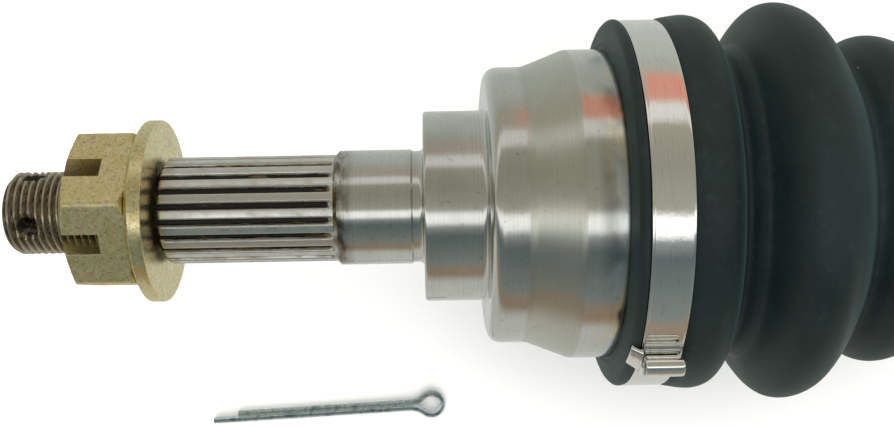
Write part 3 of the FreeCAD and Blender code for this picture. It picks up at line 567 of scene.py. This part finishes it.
def stubThread(look):
    outline = []
    step = look["pitch"] / look["stationsPerPitch"]
    count = int(look["length"] / step)
    for index in range(count + 1):
        x = tipX + index * step

        def radius(angle, x=x):
            phase = ((x - tipX) / look["pitch"] + angle / (2 * math.pi)) % 1.0
            ridge = abs(phase - 0.5) * 2
            form = min(max((ridge - look["rootFlat"]) / look["flank"], 0.0), 1.0)
            ready = min(1.0, (look["length"] - (x - tipX)) / look["runOut"])
            crest = look["radius"] - max(0.0, look["tipChamfer"] - (x - tipX))
            cut = look["radius"] - look["depth"] * (1 - form) * max(0.0, ready)
            surface = min(crest, cut)
            return surface - holeDepth(x, angle, surface, look)
        outline.append((x, radius))
    cap = [(tipX + 2.6 * mm, 0.05 * mm), (tipX + 0.3 * mm, 2.4 * mm), (tipX, 2.7 * mm)]
    neck = [(tipX + look["length"] + 0.8 * mm, 7.8 * mm), (tipX + splineLook["start"], 7.8 * mm)]
    points, faces = turnedMesh(cap + outline + neck, look["around"])
    material = rootShadedOilySteel("threadSteel", look["radius"] - look["depth"], look["radius"] * 0.995)
    return addMesh("stubThread", points, faces, "outboard_housing", ["outboard_outer_race"],
                   material)


def stubSpline(look):
    # each tooth space is a milled flute that rises out of the stub at its inner end
    start = tipX + look["start"]
    end = start + look["length"]
    around = look["teeth"] * look["pointsPerTooth"]

    def toothRadius(x):
        rise = max(0.0, (x - end) / look["rise"])
        depth = look["depth"] * max(0.0, 1 - rise ** 2)
        lead = max(0.0, look["endBreak"] - (x - start))

        def radius(angle):
            phase = ((angle - look["turn"]) * look["teeth"] / (2 * math.pi)) % 1.0
            fromLand = abs(phase - 0.5) * 2
            flank = min(max((fromLand - look["land"]) / look["flank"], 0.0), 1.0)
            flank = flank * flank * (3 - 2 * flank)
            return min(look["radius"] - depth * flank, look["radius"] - lead)
        return radius

    stations = [start, start + look["endBreak"] / 2, start + look["endBreak"], start + 1.2 * mm]
    stations += [start + look["length"] * share / 12 for share in range(1, 12)]
    stations += [end + look["rise"] * share / 8 for share in range(9)]
    outline = [(start, 7.7 * mm)] + [(x, toothRadius(x)) for x in stations]
    points, faces = turnedMesh(outline, around)
    material = rootShadedOilySteel("splineSteel", look["radius"] - look["depth"], look["radius"] * 0.998,
                         splineSteelLook, rust=0.15)
    return addMesh("stubSpline", points, faces, "outboard_housing", ["outboard_outer_race"],
                   material)


bellLook = {
    "around": 192,
    "runoutStart": splineLook["start"] + splineLook["length"] + splineLook["rise"],
    "reliefDepth": 0.35 * mm,
    "shoulderLength": 13.1 * mm,
    "noseR": 29.9 * mm,
    "noseRound": 2.8 * mm,
    "noseFlat": 5.4 * mm,
    "flare": 9.0 * mm,
    "ballRoomR": 30.2 * mm,
}


def stubAndBell(look):
    runoutX = tipX + look["runoutStart"]
    bellX = shoulderX + look["shoulderLength"]
    flareX = bellX + look["noseRound"] + look["noseFlat"]
    reliefR = journalR - look["reliefDepth"]
    collar = rounded([
        (runoutX, splineLook["radius"], 0),
        (-journalHalf, journalR, 0.2 * mm),
        (journalHalf, journalR, 0.2 * mm),
        (journalHalf + 0.4 * mm, reliefR, 0.2 * mm),
        (shoulderX, reliefR, 1.5 * mm),
        (shoulderX, shoulderR, 0.7 * mm),
        (bellX, shoulderR, 1.5 * mm),
        (bellX, look["noseR"], look["noseRound"]),
        (flareX, look["noseR"], 4.0 * mm),
        (flareX + look["flare"], bellR, 5.0 * mm),
        (mouthX, bellR, 0.6 * mm),
        # a round room inside, wide enough for the balls and the cage at full bend
        (mouthX, look["ballRoomR"] + 0.9 * mm, 0.3 * mm),
        (mouthX - 1 * mm, look["ballRoomR"], 0),
        (centreX - 12 * mm, look["ballRoomR"], 2 * mm),
        (centreX - 24 * mm, 15 * mm, 2 * mm),
        (centreX - 27 * mm, 0.05 * mm, 0),
    ], steps=7)
    points, faces = turnedMesh(collar, look["around"])
    material = turnedSteel("bellSteel", stainAt=runoutX, stainReach=0.0045,
                           cone=(flareX - 0.8 * mm, flareX + look["flare"]))
    return addMesh("stubAndBell", points, faces, "outboard_housing", ["outboard_outer_race"],
                   material)


stubThread(threadLook)
stubSpline(splineLook)
stubAndBell(bellLook)
print("hub stub turned")


washerLook = {
    "around": 160,
    "rim": 2.8 * mm,
    "topR": 17.2 * mm,
    "bore": 9.25 * mm,
}


def hubWasher(look):
    back = washerBox[1][0]
    front = washerBox[0][0]
    rimFront = back - look["rim"]
    rise = rimFront - front
    outline = rounded([
        (back, look["bore"], 0.2 * mm),
        (back, washerR, 0.35 * mm),
        (rimFront, washerR, 0.45 * mm),
        (rimFront - rise * 0.35, washerR - 1.6 * mm, 0.9 * mm),
        (front, look["topR"], 0.3 * mm),
        (front, look["bore"], 0.2 * mm),
    ], closed=True)
    points, faces = turnedMesh(outline, look["around"], closed=True)
    return addMesh("washer", points, faces, "washer", ["hub_washer"],
                   yellowZinc("washerZinc", grainStrength=0.45, roughness=(0.22, 0.36)))


nutLook = {
    "acrossFlats": 32.0 * mm,
    "crownEndR": 10.5 * mm,
    "crownChamfer": 2.5 * mm,
    "slotWidth": 4.5 * mm,
    "slotDepth": 9.9 * mm,
    "turn": math.radians(5.3),
    "bevel": 0.35 * mm,
    "around": 288,
    "rows": 46,
    "footLift": 0.9 * mm,
    "footSlope": 1.9,
    "cornerTrim": 0.25 * mm,
    "edgeSpread": 0.1225 * mm,
}


def castleNut(look):
    # the plain nut blank is turned and milled as one mesh: hexagon, crown cone, seat cone, bore
    seat = nutBox[1][0]
    end = nutBox[0][0]
    flat = look["acrossFlats"] / 2
    corner = flat / math.cos(math.pi / 6)
    slope = (flat - look["crownEndR"]) / look["crownChamfer"]

    def hexRadius(angle):
        off = (angle - look["turn"]) % (math.pi / 3) - math.pi / 6
        edge = flat / math.cos(off) if abs(off) < math.pi / 6 else corner
        return edge

    def section(x):
        crown = look["crownEndR"] + (x - end) * slope
        foot = flat + look["footLift"] + (seat - x) * look["footSlope"]

        def radius(angle):
            limits = (hexRadius(angle), crown, foot, corner - look["cornerTrim"])
            low = min(limits)
            total = sum(math.exp(-(limit - low) / look["edgeSpread"]) for limit in limits)
            return low - look["edgeSpread"] * math.log(total) * 0.5
        return radius

    height = seat - end
    stations = [end + height * (row / look["rows"]) for row in range(look["rows"] + 1)]
    outline = [(end + 0.9 * mm, 8.3 * mm), (end, 9.3 * mm)]
    outline += [(x, section(x)) for x in stations]
    outline += [(seat, 9.3 * mm), (seat - 1.0 * mm, 8.5 * mm)]
    points, faces = turnedMesh(outline, look["around"], closed=True)
    nut = addMesh("crownNut", points, faces, "nut", ["castle_nut"],
                  yellowZinc("nutZinc", grainStrength=0.55, roughness=(0.36, 0.52)))
    cutters = []
    for index in range(3):
        angle = math.pi / 3 * index + math.pi / 6 + look["turn"]
        half = look["slotWidth"] / 2
        size = (look["slotDepth"], half, 30 * mm)
        corners = [(end - 5 * mm + (size[0] + 5 * mm) * a, half * b, size[2] * c)
                   for a in (0, 1) for b in (-1, 1) for c in (-1, 1)]
        turned = [(x, y * math.cos(angle) + z * math.sin(angle), z * math.cos(angle) - y * math.sin(angle))
                  for x, y, z in corners]
        quads = [(0, 1, 3, 2), (4, 6, 7, 5), (0, 4, 5, 1), (2, 3, 7, 6), (0, 2, 6, 4), (1, 5, 7, 3)]
        cutter = addMesh(f"slotCutter{index}", turned, quads, None)
        cutters.append(cutter)
        cut = nut.modifiers.new(f"slot{index}", "BOOLEAN")
        cut.operation = "DIFFERENCE"
        cut.solver = "EXACT"
        cut.object = cutter
    bevel = nut.modifiers.new("softEdges", "BEVEL")
    bevel.width = look["bevel"]
    bevel.segments = 2
    bevel.limit_method = "ANGLE"
    bevel.angle_limit = math.radians(50)
    applyModifiers(nut)
    for cutter in cutters:
        bpy.data.objects.remove(cutter)
    nut.data.polygons.foreach_set("use_smooth", [True] * len(nut.data.polygons))
    nut.data.set_sharp_from_angle(angle=math.radians(35))
    return nut


def applyModifiers(piece):
    graph = bpy.context.evaluated_depsgraph_get()
    graph.update()
    finished = bpy.data.meshes.new_from_object(piece.evaluated_get(graph))
    piece.modifiers.clear()
    piece.data = finished


hubWasher(washerLook)
castleNut(nutLook)
print("washer and nut made")


outboardBootLook = {
    "around": 160,
    "wall": 1.9 * mm,
    "lipX": lowX("outboard_boot"),
    "lipR": 39.6 * mm,
    "seatR": bandR - 0.86 * mm,
    "wobble": 0.22 * mm,
    "wobbleScale": 34,
    # folds: distance from the joint centre and radius, crest and root in turn
    "folds": [
        (10.4, 39.7), (14.6, 40.25), (17.4, 39.8), (19.4, 38.5), (20.9, 36.2), (21.9, 33.2), (22.7, 31.6),
        (23.7, 31.5), (24.8, 32.6), (25.8, 33.4), (26.8, 34.2), (28.0, 36.9), (29.6, 39.7), (31.7, 41.9),
        (34.0, 42.6), (36.6, 42.3), (39.4, 41.0), (42.0, 38.4), (44.2, 35.2), (45.9, 32.4), (47.0, 31.2),
        (48.2, 31.4), (50.2, 33.4), (53.0, 35.0), (56.0, 35.2), (59.2, 34.0), (61.8, 30.8), (63.8, 26.8),
        (65.0, 25.6), (66.4, 26.8), (69.4, 29.4), (73.0, 30.0), (76.6, 28.6), (79.6, 23.4), (81.5, 20.1),
        (83.0, 20.8), (85.4, 23.2), (88.5, 24.0), (91.8, 22.6), (94.8, 17.6), (97.4, 14.2), (98.6, 13.7),
    ],
    # the folds lean towards the bell on their upper side
    "slump": 1.8 * mm,
    "slumpFrom": 10.0 * mm,
    "slumpFull": 20.0 * mm,
    "slumpTo": 92.0 * mm,
}

inboardBootLook = {
    "around": 144,
    "wall": 1.9 * mm,
    "wobble": 0.2 * mm,
    "wobbleScale": 34,
    "slump": 0.0,
    "folds": [
        (36.0, 38.9), (39.0, 38.9), (42.0, 38.0), (45.0, 36.2), (48.0, 33.0), (50.0, 31.6), (51.8, 31.8),
        (54.2, 32.8), (57.5, 33.5), (60.6, 31.8), (63.2, 26.4), (65.0, 24.2), (66.8, 25.0), (69.2, 27.6),
        (72.0, 28.0), (74.8, 26.4), (77.4, 21.4), (79.0, 19.6), (80.6, 20.4), (82.8, 22.4), (85.5, 23.0),
        (88.6, 21.4), (91.6, 16.8), (94.2, 14.2), (95.4, 13.7),
    ],
}


def slumpAt(x, upward, look):
    if not look["slump"] or upward <= 0:
        return 0.0
    along = x - centreX
    rise = min(max((along - look["slumpFrom"]) / (look["slumpFull"] - look["slumpFrom"]), 0.0), 1.0)
    fall = min(max((look["slumpTo"] - along) / (look["slumpTo"] - look["slumpFull"]), 0.0), 1.0)
    return look["slump"] * upward ** 1.5 * rise * rise * (3 - 2 * rise) * fall * fall * (3 - 2 * fall)


def bootShell(name, outer, look, body, node, blends):
    # an outer skin and an inner skin a wall apart, closed at both ends, with a slight hand-moulded wobble
    outline = refined(outer, 0.9 * mm)
    inner = [(x, r - look["wall"]) for x, r in reversed(outline)]
    around = look["around"]
    points, faces = turnedMesh(outline + inner, around, closed=True)
    moved = []
    for x, y, z in points:
        bulge = noise.noise(Vector((x, y, z)) * look["wobbleScale"]) * look["wobble"]
        radius = math.hypot(y, z)
        share = (radius + bulge) / radius
        moved.append((x - slumpAt(x, z / radius, look), y * share, z * share))
    shell = addMesh(name, moved, faces, body, [node], materials["boot_rubber"])
    if blends:
        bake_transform(shell)
    return shell


def outboardBoot(look):
    lip = look["lipX"]
    rise = bandLow - lip
    rim = rounded([
        (lip + 0.5 * mm, bellR + 0.15 * mm, 0),
        (lip, bellR + 1.4 * mm, 0.5 * mm),
        (lip + rise * 0.22, look["lipR"] - 0.9 * mm, 1.6 * mm),
        (lip + rise * 0.6, look["lipR"], 1.4 * mm),
        (bandLow - 0.15 * mm, look["lipR"], 0.5 * mm),
        (bandLow - 0.15 * mm, look["seatR"], 0.2 * mm),
        (bandHigh + 0.15 * mm, look["seatR"], 0.2 * mm),
    ])
    folds = smoothThrough([(centreX + x * mm, r * mm) for x, r in look["folds"]], steps=5)
    neckEnd = highX("outboard_boot")
    neck = [(neckEnd - 0.6 * mm, 13.7 * mm), (neckEnd, 13.2 * mm)]
    return bootShell("outboardBoot", rim + folds + neck, look, None, "outboard_boot",
                     [("outboard_housing", "shaft"), (bandHigh + 3 * mm, 0, 0), (neckEnd - 14 * mm, 0, 0)])


def inboardBoot(look):
    # two shells that meet in a root: one on the bar side, one on the joint side
    low = lowX("inboard_large_band")
    high = highX("inboard_large_band")
    lip = highX("inboard_boot")
    seatR = outerRadius("inboard_large_band") - 0.86 * mm
    rim = rounded([
        (lip, bellR + 0.3 * mm, 0),
        (lip, bellR + 2.8 * mm, 1.6 * mm),
        (lip - (lip - high) * 0.55, 39.5 * mm, 2.2 * mm),
        (high + 0.15 * mm, 39.5 * mm, 0.5 * mm),
        (high + 0.15 * mm, seatR, 0.2 * mm),
        (low - 0.15 * mm, seatR, 0.2 * mm),
    ])
    folds = smoothThrough([(inboardX - x * mm, r * mm) for x, r in look["folds"]], steps=5)
    splitX = inboardX - 48.0 * mm
    jointSide = rim + [place for place in folds if place[0] >= splitX]
    barSide = [place for place in folds if place[0] <= splitX + 0.3 * mm]
    neckEnd = lowX("inboard_boot")
    barSide += [(neckEnd + 0.6 * mm, 13.7 * mm), (neckEnd, 13.2 * mm)]
    bootShell("inboardBootJointSide", jointSide, look, None, "inboard_boot",
              [("inboard_housing", "inboard_boot"), (low - 3 * mm, 0, 0), (splitX + 1 * mm, 0, 0)])
    bootShell("inboardBootBarSide", barSide, look, None, "inboard_boot",
              [("inboard_boot", "shaft"), (splitX, 0, 0), (neckEnd + 14 * mm, 0, 0)])


outboardBoot(outboardBootLook)
inboardBoot(inboardBootLook)
print("boots moulded")


bandLook = {
    "around": 192,
    "wall": 0.75 * mm,
    "edge": 0.45 * mm,
}


def largeBand(name, node, body, look):
    # flat strip with a turned-over left edge
    low = lowX(node)
    high = highX(node)
    outer = outerRadius(node)
    inner = outer - look["wall"]
    outline = rounded([
        (low, inner, 0.1 * mm),
        (low, outer, 0.18 * mm),
        (low + look["edge"], outer, 0.12 * mm),
        (low + look["edge"] * 1.3, outer - 0.16 * mm, 0.1 * mm),
        (low + look["edge"] * 1.9, outer - 0.04 * mm, 0.2 * mm),
        (high - 0.5 * mm, outer - 0.02 * mm, 0.3 * mm),
        (high, outer - 0.1 * mm, 0.12 * mm),
        (high, inner, 0.1 * mm),
    ], steps=3, closed=True)
    points, faces = turnedMesh(outline, look["around"], closed=True)
    return addMesh(name, points, faces, body, [node], materials["stainless_band"])


buckleLook = {
    "turn": math.radians(47),
    "rollR": 2.25 * mm,
    "sheet": 0.45 * mm,
    "tailFrom": -2.7 * mm,
    "plateTo": 6.5 * mm,
    "earWidth": 2.5 * mm,
    "rollFrom": -118,
    "rollStep": 15,
    "columns": 9,
}


def bandBuckle(name, node, bandNode, body, look):
    # the strap's end is rolled up on a key: a tail under the roll, the roll, and a plate beyond it
    low = lowX(bandNode)
    high = highX(bandNode)
    seat = outerRadius(bandNode) + 0.12 * mm
    roll = look["rollR"]
    lift = roll + 0.55 * mm
    tailTo = -roll - 0.1 * mm
    tailRun = tailTo - look["tailFrom"]
    path = [(look["tailFrom"] + share * tailRun, 0.05 * mm) for share in (0, 0.3, 0.6, 0.9, 1)]
    for step in range(30):
        angle = math.radians(look["rollFrom"] + step * look["rollStep"])
        shrink = 1 - 0.012 * step
        path.append((roll * shrink * math.cos(angle), lift + roll * shrink * math.sin(angle)))
    plate = [(roll * 0.6, lift - 0.2 * mm), (roll * 0.8, lift - 0.9 * mm), (roll * 1.15, lift - 1.0 * mm),
             (roll * 1.5, 1.5 * mm), (roll * 2.6, 0.9 * mm), (look["plateTo"], 0.35 * mm)]
    pieces = [(path, low + 0.25 * mm, high - 0.25 * mm), (plate, low + 0.1 * mm, high - 0.1 * mm)]
    ear = [(-2.2 * mm, 1.0 * mm), (-1.0 * mm, 2.0 * mm), (1.6 * mm, 1.9 * mm),
           (4.0 * mm, 1.0 * mm), (5.6 * mm, 0.4 * mm)]
    pieces.append((ear, low - look["earWidth"], low + 0.2 * mm))
    points = []
    faces = []
    for index, (run, left, right) in enumerate(pieces):
        first = len(points)
        columns = look["columns"]
        for place, (t, n) in enumerate(run):
            for column in range(columns):
                share = column / (columns - 1)
                x = left + (right - left) * share
                out = n
                if index == 2:
                    # the ear slopes down and away from the roll, with a rounded outer edge
                    out = n - (1 - share) * 1.6 * mm
                    x = x + (1 - share) ** 2 * abs(place - 2) * 0.35 * mm
                angle = look["turn"] + t / seat
                radius = seat + out
                points.append((x, -radius * math.sin(angle), radius * math.cos(angle)))
        for row in range(len(run) - 1):
            for column in range(columns - 1):
                a = first + row * columns + column
                faces.append((a, a + 1, a + columns + 1, a + columns))
    buckle = addMesh(name, points, faces, body, [node], materials["stainless_band"])
    thicken = buckle.modifiers.new("sheet", "SOLIDIFY")
    thicken.thickness = look["sheet"]
    thicken.offset = 0
    soften = buckle.modifiers.new("soften", "SUBSURF")
    soften.levels = soften.render_levels = 1
    applyModifiers(buckle)
    return buckle


bandBuckle("outboardBuckle", "outboard_band_buckle", "outboard_large_band", "outboard_housing", buckleLook)
bandBuckle("inboardBuckle", "inboard_band_buckle", "inboard_large_band", "inboard_housing", buckleLook)
largeBand("outboardBand", "outboard_large_band", "outboard_housing", bandLook)
largeBand("inboardBand", "inboard_large_band", "inboard_housing", bandLook)
print("clamps made")


studioLook = {
    "floor": (0.93, 0.93, 0.93),
    "world": 1.0,
    "wander": 0.035,
    # the cloth shows only in directions that lean this far towards +X, with a wall elsewhere
    "clothFrom": (0.055, 0.085),
    "cloth": (0.74, 0.34, 0.25),
    "wall": (0.46, 0.42, 0.35),
    # degrees from straight up towards +Y, and the colour seen there
    "room": [
        (-178, (0.66, 0.67, 0.64)), (-104, (0.60, 0.60, 0.56)), (-90, (0.34, 0.25, 0.17)),
        (-80, (0.34, 0.27, 0.20)), (-72, (0.24, 0.27, 0.26)), (-34, (0.13, 0.16, 0.16)),
        (-24, (0.30, 0.33, 0.33)), (-20, (1.35, 1.35, 1.32)), (-9, (1.35, 1.35, 1.32)),
        (-5, (0.42, 0.41, 0.34)), (22, (0.33, 0.32, 0.26)), (46, (0.38, 0.36, 0.29)),
        (50, (0.80, 0.79, 0.75)), (60, (0.80, 0.79, 0.75)), (64, "cloth"), (78, "cloth"),
        (86, (0.46, 0.46, 0.40)), (104, (0.50, 0.53, 0.49)), (178, (0.66, 0.68, 0.65)),
    ],
    "floorHalf": 40.0,
    "cameraHeight": 213.8 * mm,
    "cameraX": 11.9 * mm,
    "lens": 39.1917,
    "roll": math.radians(-1.02),
    "shiftX": 0.0179,
    "shiftY": -0.0078,
    # name, place, size and power; both face the same spot over the joint
    "lamps": [
        ("keySoftbox", (0.1, 0.6, 0.9), (1.6, 1.2), 16),
        ("fillSoftbox", (0.0, -0.8, 0.8), (1.6, 1.2), 12),
    ],
    "lampTarget": (0.05, 0, 0),
}


def studio(look):
    scene = bpy.context.scene
    half = look["floorHalf"]
    corners = [(x * half, y * half, floorZ) for x, y in ((-1, -1), (1, -1), (1, 1), (-1, 1))]
    floor = addMesh("floor", corners, [(0, 1, 2, 3)], None)
    floor.visible_glossy = False
    material, tree, shader = newMaterial("paleFloor")
    cloud = grain(tree, 3, detail=2.0)
    base = blendColours(tree, cloud, look["floor"], tuple(c * 1.02 for c in look["floor"]))
    tree.links.new(base, shader.inputs["Base Color"])
    shader.inputs["Roughness"].default_value = 0.9
    floor.data.materials.append(material)

    world = bpy.data.worlds.new("studio")
    scene.world = world
    world.use_nodes = True
    background = world.node_tree.nodes["Background"]
    background.inputs["Strength"].default_value = look["world"]
    # the room, in strips along the axle: warm cloth at +Y, a ceiling lamp overhead, a dim side at -Y
    tree = world.node_tree
    place = addNode(tree, "ShaderNodeTexCoord")
    wander = addNode(tree, "ShaderNodeTexNoise")
    wander.inputs["Scale"].default_value = 2.2
    wander.inputs["Detail"].default_value = 3.0
    tree.links.new(place.outputs["Generated"], wander.inputs["Vector"])
    split = addNode(tree, "ShaderNodeSeparateXYZ")
    tree.links.new(place.outputs["Generated"], split.inputs["Vector"])
    around = addNode(tree, "ShaderNodeMath", operation="ARCTAN2")
    tree.links.new(split.outputs["Y"], around.inputs[0])
    tree.links.new(split.outputs["Z"], around.inputs[1])
    shifted = addNode(tree, "ShaderNodeMath", operation="ADD")
    tree.links.new(around.outputs[0], shifted.inputs[0])
    sway = scaled(tree, wander.outputs["Fac"], -look["wander"], look["wander"], 0.3, 0.7)
    tree.links.new(sway, shifted.inputs[1])
    turnShare = scaled(tree, shifted.outputs[0], 0.0, 1.0, -math.pi, math.pi)
    halves = []
    for cloth in (look["wall"], look["cloth"]):
        strips = [(0.5 + degrees / 360, cloth if colour == "cloth" else colour)
                  for degrees, colour in look["room"]]
        halves.append(ramp(tree, turnShare, strips))
    towardsX = scaled(tree, split.outputs["X"], 0.0, 1.0, *look["clothFrom"])
    tree.links.new(blendColours(tree, towardsX, *halves), background.inputs["Color"])

    camera = bpy.data.objects.new("camera", bpy.data.cameras.new("camera"))
    scene.collection.objects.link(camera)
    camera.location = (look["cameraX"], 0, look["cameraHeight"])
    camera.rotation_euler = (0, 0, look["roll"])
    camera.data.lens = look["lens"]
    camera.data.shift_x = look["shiftX"]
    camera.data.shift_y = look["shiftY"]
    camera.data.clip_start = 0.005
    scene.camera = camera

    scene.view_settings.view_transform = "Standard"


def areaLight(name, place, target, size, power):
    lamp = bpy.data.lights.new(name, "AREA")
    lamp.shape = "RECTANGLE"
    lamp.size, lamp.size_y = size
    lamp.energy = power
    holder = bpy.data.objects.new(name, lamp)
    bpy.context.scene.collection.objects.link(holder)
    holder.location = place
    way = Vector(target) - Vector(place)
    holder.rotation_euler = way.to_track_quat("-Z", "Y").to_euler()
    holder.visible_glossy = False
    return holder


studio(studioLook)
for lampName, lampPlace, lampSize, power in studioLook["lamps"]:
    areaLight(lampName, lampPlace, studioLook["lampTarget"], lampSize, power)
print("studio set")
